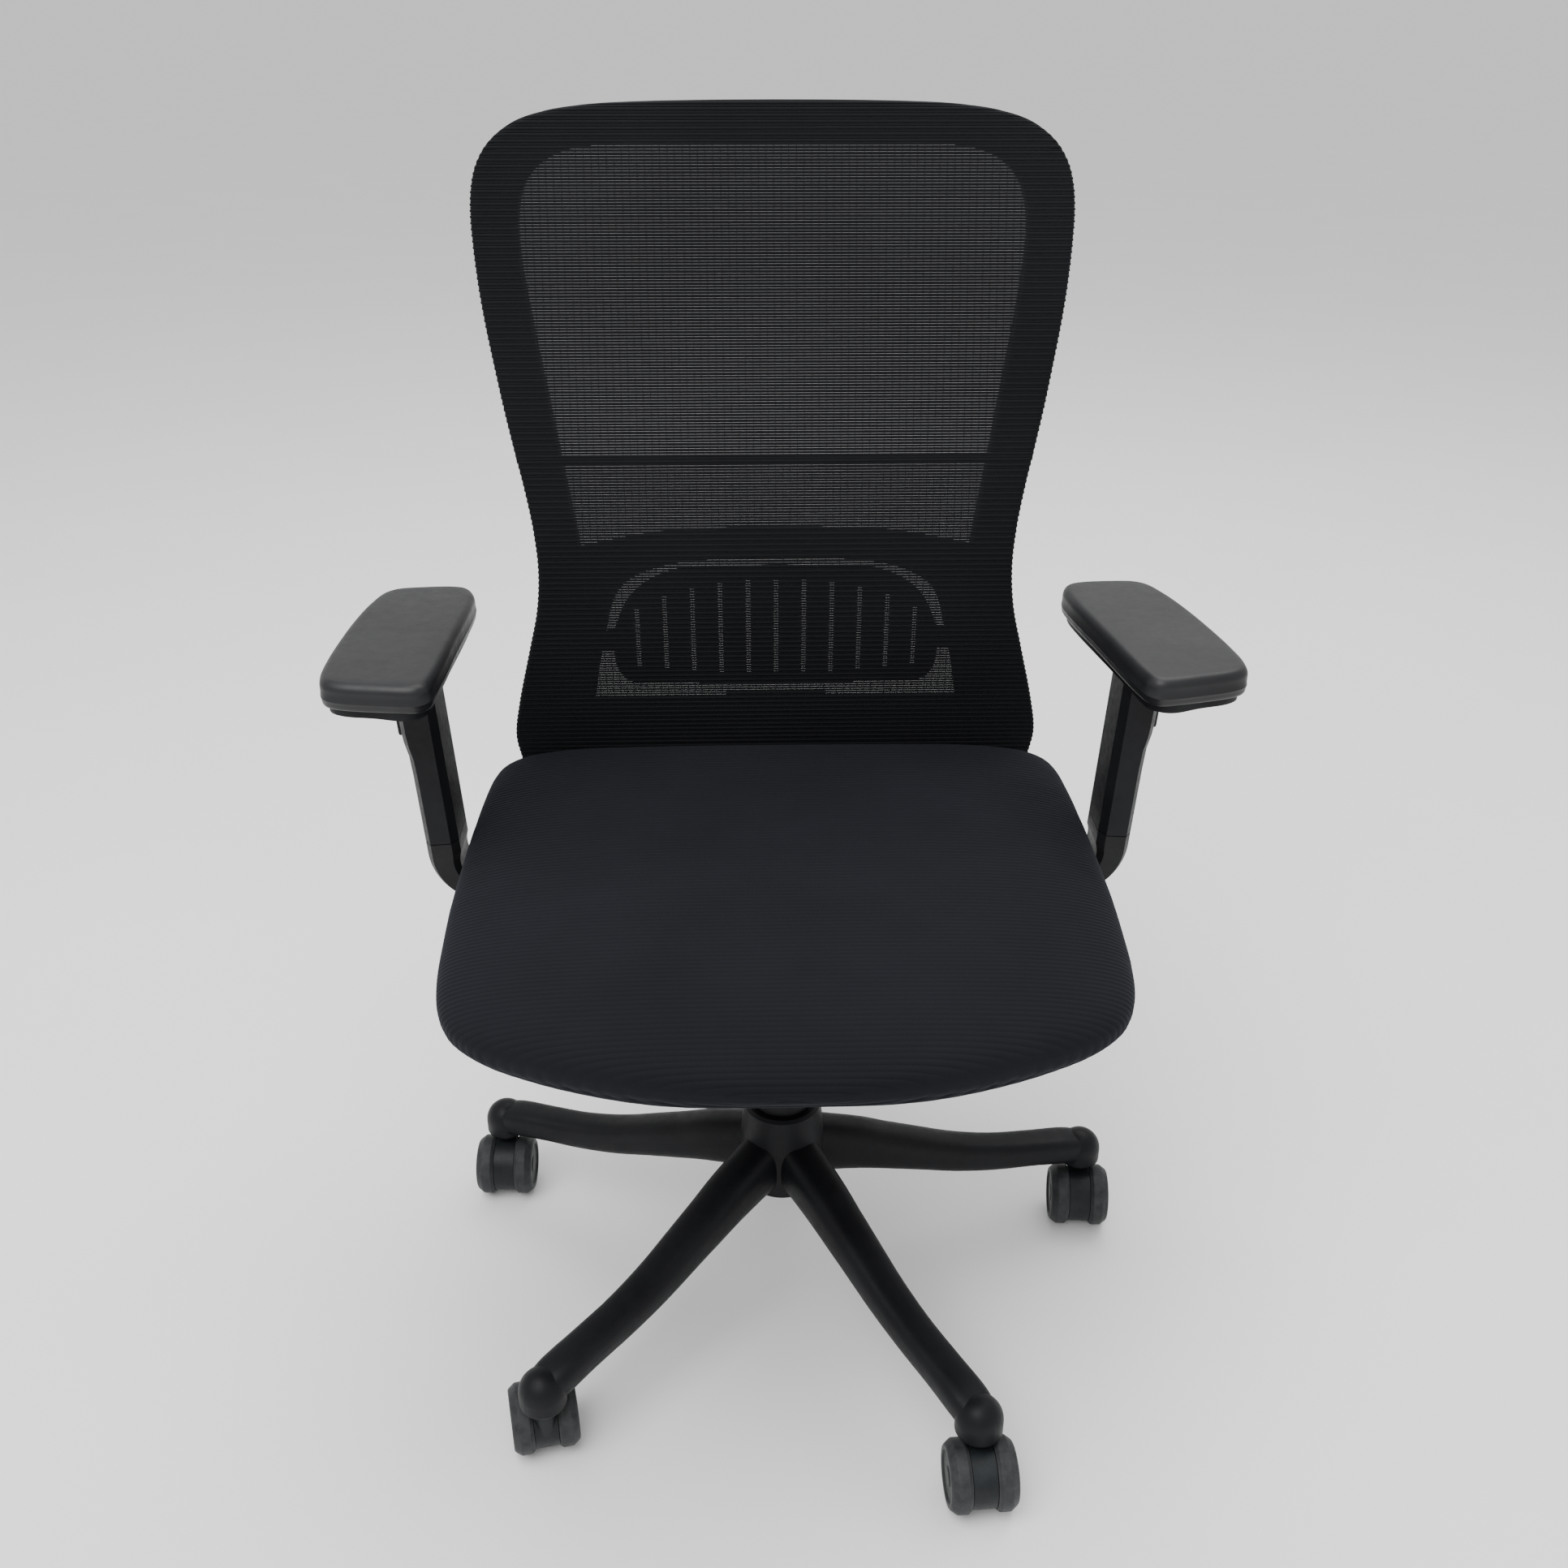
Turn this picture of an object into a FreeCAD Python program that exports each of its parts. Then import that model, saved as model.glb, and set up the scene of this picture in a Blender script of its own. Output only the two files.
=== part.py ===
import FreeCAD, Part
import math
import os
from FreeCAD import Vector as V

# Swivel office chair with a mesh back. Millimetres, +Z up.
# Origin: on the floor, under the axis of the gas lift. The sitter faces -Y, so the back stands on the +Y side.

# ---- five-star base
LEG_ANGLES = [12.1, 84.1, 156.1, 228.1, 300.1]    # degrees from +X
STEM_RADIUS = 285.0          # caster stem circle
BOSS_R = 18.5                # rounded end of a leg
BOSS_BOTTOM = 66.0           # before the drop below
HUB_BOTTOM, HUB_TOP = 104.0, 189.0
HUB_BORE_R = 25.05
DROP = 8.0                   # everything but the casters stands this much lower than its construction heights, so the boss ends 58 above the floor
# ---- casters
WHEEL_R = 27.5
WHEEL_W = 16.5
HOOD_HALF = 9.25             # half width of the hood between the wheels
WHEEL_IN = 9.75              # inner face of a wheel
AXLE_R = 3.0
TRAIL = 15.5
STEM_R = 4.0
# direction of trail from the stem, degrees from +X
TRAIL_ANGLES = [265.0, 250.0, 268.0, 102.9, 273.5]
# ---- gas lift
TUBE_R = 25.0
TUBE_BOTTOM, TUBE_TOP = 104.0, 276.0
CYL_R = 14.0
CYL_TOP = 320.0
ROD_R = 5.0
STROKE = 100.0
# ---- tilt mechanism
PIVOT_Y, PIVOT_Z = -45.0, 330.0
PLATE_Z = 355.0              # underside of the seat plate
# ---- seat
COVER_Z = 358.2
BOARD_Z = 361.5
CUSHION_Z = 372.0
# ---- back: front surface y over height z
BACK_Z = [395.0, 423.0, 455.0, 484.0, 520.0, 558.0, 604.5, 637.0, 670.0, 707.0, 744.0, 790.0, 837.0, 893.0, 949.0, 975.0]
BACK_Y = [220.5, 216.0, 210.5, 206.5, 202.0, 199.2, 199.2, 201.8, 206.5, 213.2, 221.0, 231.5, 243.3, 257.6, 272.0, 279.0]
FRAME_FRONT, FRAME_REAR = 2.3, 20.0
PANEL_FRONT = 12.5
# ---- arms
ARM_X, ARM_Y = 287.9, 86.0   # axis of the upright at the height of the sleeve top
ARM_LEAN = 3.3               # uprights lean outwards towards the top, degrees
ARM_T, ARM_D = 27.5, 54.0    # section across and along
SLEEVE_BOTTOM, SLEEVE_TOP = 410.0, 555.0
PAD_TOP = 583.0
PAD_TURN = {"left": -1.7, "right": 8.7}      # how far each pad is turned out on its pivot, degrees

os.makedirs("parts", exist_ok=True)


def save(name, shape, drop=True):
    if isinstance(shape, list):
        shape = Part.makeCompound(shape)
    if drop:
        shape = shape.copy()
        shape.translate(V(0, 0, -DROP))
    solids = shape.Solids
    ok = all(s.isValid() for s in solids)
    shape.exportStep("parts/%s.step" % name)
    b = shape.BoundBox
    print("%-26s solids %2d valid %s vol %9.0f  x %7.1f %7.1f  y %7.1f %7.1f  z %7.1f %7.1f" % (
        name, len(solids), ok, shape.Volume, b.XMin, b.XMax, b.YMin, b.YMax, b.ZMin, b.ZMax))
    return shape


def box(x0, x1, y0, y1, z0, z1):
    return Part.makeBox(x1 - x0, y1 - y0, z1 - z0, V(x0, y0, z0))


def cyl(r, z0, z1, x=0.0, y=0.0):
    return Part.makeCylinder(r, z1 - z0, V(x, y, z0), V(0, 0, 1))


def tube(ro, ri, z0, z1, x=0.0, y=0.0):
    return cyl(ro, z0, z1, x, y).cut(cyl(ri, z0 - 1, z1 + 1, x, y))


def cyl_x(r, x0, x1, y, z):
    return Part.makeCylinder(r, x1 - x0, V(x0, y, z), V(1, 0, 0))


def cyl_y(r, y0, y1, x, z):
    return Part.makeCylinder(r, y1 - y0, V(x, y0, z), V(0, 1, 0))


def poly_face(points):
    return Part.Face(Part.makePolygon(points + [points[0]]))


def spline(points, periodic=False):
    c = Part.BSplineCurve()
    c.interpolate([V(*p) for p in points], PeriodicFlag=periodic)
    return c.toShape()


def fillet_edges(shape, r, pick):
    edges = [e for e in shape.Edges if pick(e)]
    for rr in (r, r * 0.7, r * 0.4):
        try:
            s = shape.makeFillet(rr, edges)
            if s.isValid() and s.Volume > 0:
                return s
        except Exception:
            pass
    return shape


def interp(x, xs, ys):
    if x <= xs[0]:
        return ys[0]
    for i in range(1, len(xs)):
        if x <= xs[i]:
            t = (x - xs[i - 1]) / (xs[i] - xs[i - 1])
            return ys[i - 1] * (1 - t) + ys[i] * t
    return ys[-1]


def turned(shape, angle, x=0.0, y=0.0):
    s = shape.copy()
    s.rotate(V(x, y, 0), V(0, 0, 1), angle)
    return s


def rounded_section(half_w, half_h, zc, x, n=4.0, count=24):
    """Closed rounded section in the plane across X at x."""
    pts = []
    for i in range(count):
        a = 2 * math.pi * i / count
        c, s = math.cos(a), math.sin(a)
        pts.append((x, half_w * math.copysign(abs(c) ** (2.0 / n), c), zc + half_h * math.copysign(abs(s) ** (2.0 / n), s)))
    return Part.Wire([spline(pts, True)])


# ---------------------------------------------------------------- five-star base
LEG_R = [20.0, 37.0, 65.0, 84.0, 102.0, 121.0, 140.0, 158.0, 177.0, 195.0, 219.0, 242.0, 262.0, 278.0, STEM_RADIUS]
LEG_Z = [138.0, 135.0, 128.5, 123.0, 117.0, 111.0, 104.8, 99.2, 94.6, 91.2, 88.4, 86.4, 84.4, 82.0, 80.5]
LEG_H = [26.0, 25.0, 22.8, 21.3, 19.8, 18.6, 17.5, 16.6, 15.7, 15.0, 14.2, 13.9, 14.1, 13.6, 12.6]
LEG_W = [20.0, 19.6, 19.0, 18.6, 18.1, 17.6, 17.1, 16.6, 16.2, 15.9, 15.8, 15.9, 16.3, 15.9, 14.6]


def leg():
    wires = [rounded_section(w, h, z, r, 2.9) for r, z, h, w in zip(LEG_R, LEG_Z, LEG_H, LEG_W)]
    body = Part.makeLoft(wires, True, False)
    boss = cyl(BOSS_R, BOSS_BOTTOM, 79.0, STEM_RADIUS)
    boss = fillet_edges(boss, 3.0, lambda e: abs(e.BoundBox.ZMax - BOSS_BOTTOM) < 0.01 and abs(e.BoundBox.ZMin - BOSS_BOTTOM) < 0.01)
    dome = Part.makeSphere(BOSS_R, V(STEM_RADIUS, 0, 79.0), V(0, 0, 1), 0, 90, 360)
    return body.fuse(boss).fuse(dome)


hub_profile = [(0, HUB_BOTTOM), (30.5, HUB_BOTTOM), (33.0, HUB_BOTTOM + 2.5), (36.0, 128.0), (36.6, 150.0), (34.6, 172.0), (33.0, HUB_TOP - 2.5), (30.5, HUB_TOP), (0, HUB_TOP)]
hub = poly_face([V(r, 0, z) for r, z in hub_profile]).revolve(V(0, 0, 0), V(0, 0, 1), 360)
if hub.ShapeType != "Solid":
    hub = Part.makeSolid(hub) if not hub.Solids else hub.Solids[0]
one_leg = leg()
base = hub.fuse([turned(one_leg, a) for a in LEG_ANGLES])
base = base.cut(cyl(HUB_BORE_R, 60, 260))
stem_axes = [(STEM_RADIUS * math.cos(math.radians(a)), STEM_RADIUS * math.sin(math.radians(a))) for a in LEG_ANGLES]
for sx, sy in stem_axes:
    base = base.cut(cyl(5.52, BOSS_BOTTOM - 5, 90.0, sx, sy))
base = base.removeSplitter()
save("base_star", base)

stems = []
for sx, sy in stem_axes:
    s = cyl(5.5, BOSS_BOTTOM - 0.2, 89.5, sx, sy).fuse(cyl(STEM_R, 34.0 + DROP, BOSS_BOTTOM, sx, sy)).fuse(cyl(7.0, BOSS_BOTTOM - 1.4, BOSS_BOTTOM - 0.1, sx, sy))
    stems.append(s.removeSplitter())
save("caster_stems", stems)

# ---------------------------------------------------------------- casters
# Local frame: axle along X through (0, 0, WHEEL_R), stem at (0, TRAIL, z), so the wheels trail towards -Y.


def hood():
    disc = cyl_x(24.6, -HOOD_HALF, HOOD_HALF, 0, WHEEL_R)
    tower = cyl(9.2, 28.0, 55.9, 0, TRAIL)
    neck = box(-8.6, 8.6, 0.0, TRAIL, 30.0, 52.5)
    h = disc.fuse(tower).fuse(neck)
    h = h.cut(box(-20, 20, -40, 40, -5, 11.0))
    h = h.cut(cyl(STEM_R + 0.05, 33.6, 70, 0, TRAIL))
    h = h.cut(cyl_x(AXLE_R + 0.02, -20, 20, 0, WHEEL_R))
    return h.removeSplitter()


def wheel(side):
    xi, xo = WHEEL_IN, WHEEL_IN + WHEEL_W
    R = WHEEL_R
    prof = [(xi, AXLE_R + 0.08), (xi, R - 2.3), (xi + 2.2, R - 0.25), (xi + 2.9, R), (xo - 6.4, R), (xo - 5.6, R - 0.3), (xo - 1.2, R - 3.6), (xo - 0.3, R - 4.8), (xo - 0.3, 19.6), (xo - 1.8, 18.6), (xo - 1.8, 8.0), (xo - 0.9, 7.0), (xo - 0.9, 0.0), (xi + 14.6, 0.0), (xi + 14.6, AXLE_R + 0.08)]
    f = poly_face([V(x, 0, r) for x, r in prof])
    s = f.revolve(V(0, 0, 0), V(1, 0, 0), 360)
    if s.ShapeType != "Solid":
        s = s.Solids[0] if s.Solids else Part.makeSolid(s)
    s.translate(V(0, 0, WHEEL_R))
    if side < 0:
        s = s.mirror(V(0, 0, 0), V(1, 0, 0))
    return s


HOOD, WHEEL_A, WHEEL_B = hood(), wheel(-1), wheel(1)
AXLE = cyl_x(AXLE_R, -WHEEL_IN - 14.2, WHEEL_IN + 14.2, 0, WHEEL_R)
for i, ((sx, sy), ta) in enumerate(zip(stem_axes, TRAIL_ANGLES)):
    ang = ta + 90.0          # -Y local turned to the trail direction
    for name, shp in (("hood", HOOD), ("axle", AXLE), ("wheel_a", WHEEL_A), ("wheel_b", WHEEL_B)):
        s = shp.copy()
        s.translate(V(0, -TRAIL, 0))
        s = turned(s, ang)
        s.translate(V(sx, sy, 0))
        save("caster_%d_%s" % (i + 1, name), s, False)
    ax = (math.cos(math.radians(ang)), math.sin(math.radians(ang)))
    cx, cy = sx + TRAIL * math.cos(math.radians(ta)), sy + TRAIL * math.sin(math.radians(ta))
    print("caster", i + 1, "stem", round(sx, 4), round(sy, 4), "wheel centre", round(cx, 4), round(cy, 4), "axis", round(ax[0], 6), round(ax[1], 6))

# ---------------------------------------------------------------- gas lift
t = tube(TUBE_R, 23.6, TUBE_BOTTOM, TUBE_TOP).fuse(tube(TUBE_R, ROD_R + 0.05, TUBE_BOTTOM, TUBE_BOTTOM + 3))
save("gas_lift_outer_tube", t.removeSplitter())
b = tube(23.55, CYL_R + 0.06, 226.0, TUBE_TOP).fuse(tube(TUBE_R, CYL_R + 0.06, TUBE_TOP, TUBE_TOP + 3.0))
save("gas_lift_guide_bush", b.removeSplitter())
save("gas_lift_thrust_bearing", tube(13.0, ROD_R + 0.1, 107.05, 112.0))
rod = cyl(ROD_R, 100.6, 258.0).fuse(cyl(11.8, 248.0, 256.0)).fuse(cyl(8.0, 112.1, 115.0))
rod = rod.cut(tube(ROD_R + 1, 4.0, 102.2, 103.6))
save("gas_lift_piston_rod", rod.removeSplitter())
save("gas_lift_foot_clip", tube(9.0, 4.05, 102.3, 103.5).cut(box(-2.5, 2.5, 0, 12, 98, 108)))
c = cyl(CYL_R, 119.0, CYL_TOP).cut(cyl(12.0, 129.0, 312.0)).cut(cyl(ROD_R + 0.05, 110, 135)).cut(cyl(2.56, 300, 330))
save("gas_lift_cylinder", c)
save("gas_lift_valve_pin", cyl(2.5, 305.0, 326.5))

# ---------------------------------------------------------------- tilt mechanism
outer = poly_face([V(-58.5, y, z) for y, z in ((-95, 296), (75, 296), (75, 322), (-20, 342), (-45, 344), (-95, 344))]).extrude(V(117, 0, 0))
inner = box(-56, 56, -92.5, 72.5, 298.5, 400)
hs = outer.cut(inner)
hs = hs.fuse(cyl(21.0, 288.0, 318.0)).cut(cyl(CYL_R + 0.02, 280, 330))
hs = hs.cut(cyl_x(6.03, -80, 80, PIVOT_Y, PIVOT_Z))
hs = hs.cut(cyl(4.02, 290, 300, 0, -75))
hs = hs.cut(box(-60, -55, -11, 11, 320, 350))
hs = hs.cut(box(-60, -55, 19.5, 34.5, 302.5, 309.5))
save("mechanism_housing", hs.removeSplitter())
pin = cyl_x(6.0, -66, 66, PIVOT_Y, PIVOT_Z).fuse(cyl_x(8.5, 66, 69, PIVOT_Y, PIVOT_Z)).fuse(cyl_x(8.5, -69, -66, PIVOT_Y, PIVOT_Z))
save("tilt_pivot_pin", pin.removeSplitter())
bolt = cyl(4.0, 276.0, 338.5, 0, -75).fuse(cyl(9.0, 338.5, 343.0, 0, -75))
save("tension_bolt", bolt.removeSplitter())
helix = Part.makeHelix(7.6, 33.5, 11.5)
prof = Part.Wire([Part.makeCircle(1.9, V(11.5, 0, 0), V(0, 1, 0))])
spring = Part.Wire(helix.Edges).makePipeShell([prof], True, True)
spring.translate(V(0, -75, 301.5))
save("tension_spring", spring)
knob_pts = []
for i in range(48):
    a = 2 * math.pi * i / 48
    r = 25.5 + 1.3 * math.cos(12 * a)
    knob_pts.append((r * math.cos(a), -75 + r * math.sin(a), 268.0))
kn = Part.Face(Part.Wire([spline(knob_pts, True)])).extrude(V(0, 0, 20)).fuse(cyl(12.0, 288.0, 294.5, 0, -75))
kn = kn.cut(cyl(4.06, 274.0, 300, 0, -75))
save("tension_knob", kn.removeSplitter())

# height lever: a rod out to the sitter's right with a paddle over the valve pin
rodl = cyl_x(4.0, -186, -10, 0, 330.7).fuse(box(-16, 20, -8, 8, 326.7, 329.7))
save("lever_rod", rodl.removeSplitter())
hd = poly_face([V(-243, -40, 325.2), V(-238, -44, 325.2), V(-190, -36, 325.2), V(-172, -7.5, 325.2), V(-172, 7.5, 325.2), V(-205, 7.5, 325.2), V(-236, -4, 325.2), V(-243, -10, 325.2)]).extrude(V(0, 0, 11))
hd = fillet_edges(hd, 3.5, lambda e: True)
hd = hd.cut(cyl_x(4.02, -186.5, -160, 0, 330.7))
save("lever_handle", hd)
tg = box(-88, -73, -10, 10, 319, 337.2).fuse(box(-88, -76, -10, 34, 303, 319)).fuse(box(-88, -50, 20, 34, 303, 309))
tg = tg.cut(cyl_x(4.6, -95, -70, 0, 330.7))
save("tilt_lock_tongue", tg.removeSplitter())

# ---------------------------------------------------------------- seat plate, board, cover
BOLTS_PLATE = [(-60, -85), (60, -85), (-60, 80), (60, 80)]
BOLTS_ARM = [(s * x, ARM_Y + dy) for s in (-1, 1) for x, dy in ((150, -10), (150, 10), (195, 0))]
BOLTS_BACK = [(-26, 130), (26, 130), (-26, 172), (26, 172)]
plate = box(-75, 75, -100, 98, PLATE_Z, PLATE_Z + 3)
for s in (-1, 1):
    x0, x1 = sorted((s * 62, s * 65))
    ear = box(x0, x1, PIVOT_Y - 20, PIVOT_Y + 20, 319, PLATE_Z + 1)
    ear = ear.fuse(cyl_x(14, x0, x1, PIVOT_Y, PIVOT_Z)).cut(box(x0 - 1, x1 + 1, PIVOT_Y - 30, PIVOT_Y - 14.0, 310, 330)).cut(box(x0 - 1, x1 + 1, PIVOT_Y + 14.0, PIVOT_Y + 30, 310, 330))
    plate = plate.fuse(ear)
plate = plate.cut(cyl_x(6.06, -80, 80, PIVOT_Y, PIVOT_Z))
for x, y in BOLTS_PLATE:
    plate = plate.cut(cyl(3.05, 340, 365, x, y))
save("mechanism_top_plate", plate.removeSplitter())


def rounded_rect(hx, y0, y1, r, z):
    pts = []
    for cx, cy, a0 in ((hx - r, y1 - r, 0), (-hx + r, y1 - r, 90), (-hx + r, y0 + r, 180), (hx - r, y0 + r, 270)):
        for k in range(0, 7):
            a = math.radians(a0 + 15 * k)
            pts.append(V(cx + r * math.cos(a), cy + r * math.sin(a), z))
    return poly_face(pts)


board = rounded_rect(216, -172, 182, 88, BOARD_Z).extrude(V(0, 0, 10))
cover = rounded_rect(222, -179, 188, 92, COVER_Z).extrude(V(0, 0, 13.2))
cover = cover.cut(rounded_rect(218, -175, 184, 89, BOARD_Z - 0.3).extrude(V(0, 0, 30)))
for x, y in BOLTS_PLATE + BOLTS_ARM + BOLTS_BACK:
    board = board.cut(cyl(3.02, BOARD_Z - 5, BOARD_Z + 8.5, x, y))
    cover = cover.cut(cyl(3.05, 340, BOARD_Z + 1, x, y))
save("seat_board", board)
save("seat_under_cover", cover)


def bolt_up(x, y, z_under, head_h=3.5):
    return cyl(5.2, z_under - head_h, z_under, x, y).fuse(cyl(3.0, z_under, BOARD_Z + 8.3, x, y)).removeSplitter()


save("seat_plate_bolts", [bolt_up(x, y, PLATE_Z) for x, y in BOLTS_PLATE])

# ---------------------------------------------------------------- seat cushion
# sections across Y: y, half width, bottom z, top z at the middle
CUSH = [(-257.0, 50.0, 386.0, 397.0), (-252.5, 84.0, 381.0, 402.5), (-246.0, 114.0, 377.0, 407.0), (-235.0, 151.0, 374.0, 411.5), (-221.0, 188.5, 372.6, 415.0), (-205.0, 219.0, 372.0, 418.0), (-187.0, 237.0, 372.0, 420.5), (-165.0, 246.8, 372.0, 422.8), (-135.0, 252.8, 372.0, 424.6), (-90.0, 256.4, 372.0, 426.0), (-30.0, 259.4, 372.0, 427.0), (40.0, 259.8, 372.0, 428.0), (110.0, 259.0, 372.0, 430.0), (160.0, 256.5, 372.0, 432.0), (184.0, 253.5, 372.2, 433.0), (199.0, 248.5, 374.0, 431.5), (207.0, 239.0, 378.0, 426.5), (210.5, 226.0, 383.0, 420.0)]


def cushion_section(y, w, z0, z1, n=5.0, count=32):
    zc, h = (z0 + z1) / 2, (z1 - z0) / 2
    pts = []
    for i in range(count):
        a = 2 * math.pi * i / count
        c, s = math.cos(a), math.sin(a)
        x = w * math.copysign(abs(c) ** (2.0 / n), c)
        z = zc + h * math.copysign(abs(s) ** (2.0 / 2.6), s)
        pts.append((x, y, z))
    return Part.Wire([spline(pts, True)])


cushion = Part.makeLoft([cushion_section(*q) for q in CUSH], True, False)
save("seat_cushion", cushion)

# ---------------------------------------------------------------- back
OUTLINE = [(230.0, 405.0), (233.5, 429.7), (232.8, 442.0), (228.8, 462.0), (224.3, 481.0), (213.4, 522.0), (204.0, 560.0), (200.4, 596.0), (202.4, 631.0), (207.8, 665.0), (214.6, 697.5), (221.0, 729.0), (226.8, 761.0), (232.0, 791.0), (236.2, 821.0), (239.0, 852.0), (239.8, 874.0), (238.4, 892.0), (234.0, 908.0), (224.0, 923.5), (205.0, 937.5), (180.0, 945.3), (150.0, 949.6), (110.0, 951.8), (55.0, 952.9), (0.0, 953.2)]
UPPER = [(0.0, 924.0), (60.0, 924.0), (125.0, 923.4), (157.0, 920.6), (182.4, 910.6), (197.6, 894.5), (204.0, 873.0), (202.6, 830.0), (191.9, 765.5), (178.2, 687.0), (168.6, 629.0)]
ARCH = [(168.6, 629.0), (166.0, 611.5), (142.0, 616.2), (106.0, 622.5), (55.0, 625.9), (0.0, 626.7)]
LUMBAR = [(0.0, 602.0), (40.0, 601.4), (72.0, 599.3), (108.5, 592.0), (134.0, 576.0), (147.5, 539.0), (154.0, 512.5), (162.0, 467.6)]


def mirror_close(half):
    """Half outline listed from the centre line outwards, mirrored into a full list."""
    return [(-x, z) for x, z in reversed(half) if abs(x) > 1e-6] + half


def xz(points, y):
    return [(x, y, z) for x, z in points]


full = [(x, z) for x, z in OUTLINE] + [(-x, z) for x, z in reversed(OUTLINE[:-1])]
o_edge = spline(xz(full, 150.0))
o_face = Part.Face(Part.Wire([o_edge, Part.makeLine(V(*xz(full, 150.0)[-1]), V(*xz(full, 150.0)[0]))]))
o_solid = o_face.extrude(V(0, 200, 0))


def slab(d0, d1, half=260.0, z0=None, z1=None):
    """Curved plate between the front surface moved back by d0 and by d1."""
    zs, ys = BACK_Z, BACK_Y
    a = spline([(-half, y + d0, z) for y, z in zip(ys, zs)])
    bb = spline([(-half, y + d1, z) for y, z in zip(ys, zs)])
    w = Part.Wire([a, Part.makeLine(V(-half, ys[-1] + d0, zs[-1]), V(-half, ys[-1] + d1, zs[-1])), Part.Wire([bb]).Edges[0], Part.makeLine(V(-half, ys[0] + d1, zs[0]), V(-half, ys[0] + d0, zs[0]))])
    return Part.Face(w).extrude(V(2 * half, 0, 0))


mesh = o_solid.common(slab(0.0, 2.0))
save("back_mesh", mesh)
frame = o_solid.common(slab(FRAME_FRONT, FRAME_REAR))
side_r = UPPER
up_pts = [(-x, z) for x, z in reversed(side_r[1:])] + side_r
e1 = spline(xz(up_pts, 150.0))
arch_half = ARCH[1:]
arch_pts = arch_half[:] + [(-x, z) for x, z in reversed(arch_half[:-1])]
e2 = spline(xz(arch_pts, 150.0))
p_r, p_l = xz([side_r[-1]], 150.0)[0], xz([(-side_r[-1][0], side_r[-1][1])], 150.0)[0]
win = Part.Wire([e1, Part.makeLine(V(*p_r), V(*xz([arch_half[0]], 150.0)[0])), e2, Part.makeLine(V(*xz([(-arch_half[0][0], arch_half[0][1])], 150.0)[0]), V(*p_l))])
frame = frame.cut(Part.Face(win).extrude(V(0, 200, 0)))
lum_pts = [(-x, z) for x, z in reversed(LUMBAR[1:])] + LUMBAR
e3 = spline(xz(lum_pts, 150.0))
lw = Part.Wire([e3, Part.makeLine(V(*xz(lum_pts, 150.0)[-1]), V(*xz(lum_pts, 150.0)[0]))])
frame = frame.cut(Part.Face(lw).extrude(V(0, 200, 0)))
# shallow recess in which the lumbar pad slides
recess = box(-164, 164, 150, 400, 461.0, 640.0).common(slab(-20.0, PANEL_FRONT))
frame = frame.cut(recess)


def y_at(z):
    return interp(z, BACK_Z, BACK_Y)


HOLES_FRAME = [(-30, 425.0), (30, 425.0), (-30, 450.0), (30, 450.0)]
for x, z in HOLES_FRAME:
    frame = frame.cut(cyl_y(4.05, y_at(z) + 6, y_at(z) + 60, x, z))
frame = frame.removeSplitter()
save("back_frame", frame)

# lumbar pad: rounded plate with eleven slots and an ear at each end
PAD_HALF = [(0.0, 596.6), (45.0, 596.4), (81.0, 594.6), (109.0, 584.5), (129.5, 565.0), (138.5, 545.0), (141.5, 538.0)]
PAD_LOW = [(141.5, 520.0), (141.0, 508.0), (133.0, 491.5), (104.0, 486.8), (55.0, 485.8), (0.0, 485.6)]
top = spline(xz([(-x, z) for x, z in reversed(PAD_HALF[1:])] + PAD_HALF, 150.0))
low = spline(xz(PAD_LOW + [(-x, z) for x, z in reversed(PAD_LOW[:-1])], 150.0))
r0, r1 = PAD_HALF[-1], PAD_LOW[0]
ear = 160.0
lines = []
for s in (1, -1):
    q = [V(s * r0[0], 150, r0[1]), V(s * ear, 150, r0[1] - 1), V(s * ear, 150, r1[1] + 1), V(s * r1[0], 150, r1[1])]
    lines += [Part.makeLine(q[i], q[i + 1]) for i in range(3)]
pw = Part.Wire(Part.__sortEdges__([top, low] + lines))
pad = Part.Face(pw).extrude(V(0, 200, 0)).common(slab(5.5, 10.0))
SLOT_X = [-123.4 + 24.1 * i + 2.9 for i in range(11)]
for x in SLOT_X:
    t0 = 560.0 + 25.0 * (1 - (abs(x) / 122.0) ** 2.2)
    b0 = 501.0 - 6.5 * (1 - (abs(x) / 122.0) ** 2.0)
    pad = pad.cut(box(x - 1.9, x + 1.9, 150, 400, b0, t0))
save("lumbar_pad", pad.removeSplitter())

# bracket that carries the back from under the seat
BR_T, BR_W = 8.0, 45.0
cl = [(100.0, 353.4), (120.0, 353.4), (145.0, 353.4), (170.0, 353.4), (190.0, 353.4), (205.0, 353.7), (222.0, 356.5), (234.0, 365.0), (241.5, 378.0), (244.0, 392.0), (243.2, 405.0)]
zz = [415.0, 425.0, 440.0, 455.0, 468.0]
cl += [(y_at(z) + FRAME_REAR + 0.3 + BR_T / 2, z) for z in zz]
curve = Part.BSplineCurve()
curve.interpolate([V(0, y, z) for y, z in cl])
lo_pts, hi_pts = [], []
N = 40
for i in range(N + 1):
    u = curve.FirstParameter + (curve.LastParameter - curve.FirstParameter) * i / N
    p = curve.value(u)
    tt = curve.tangent(u)[0]
    n = V(0, -tt.z, tt.y)
    n.normalize()
    lo_pts.append(p + n * (BR_T / 2))
    hi_pts.append(p - n * (BR_T / 2))
ea, eb = Part.BSplineCurve(), Part.BSplineCurve()
ea.interpolate(lo_pts)
eb.interpolate(hi_pts)
w = Part.Wire([ea.toShape(), Part.makeLine(lo_pts[-1], hi_pts[-1]), eb.toShape(), Part.makeLine(hi_pts[0], lo_pts[0])])
br = Part.Face(w).extrude(V(2 * BR_W, 0, 0))
br.translate(V(-BR_W, 0, 0))
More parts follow.
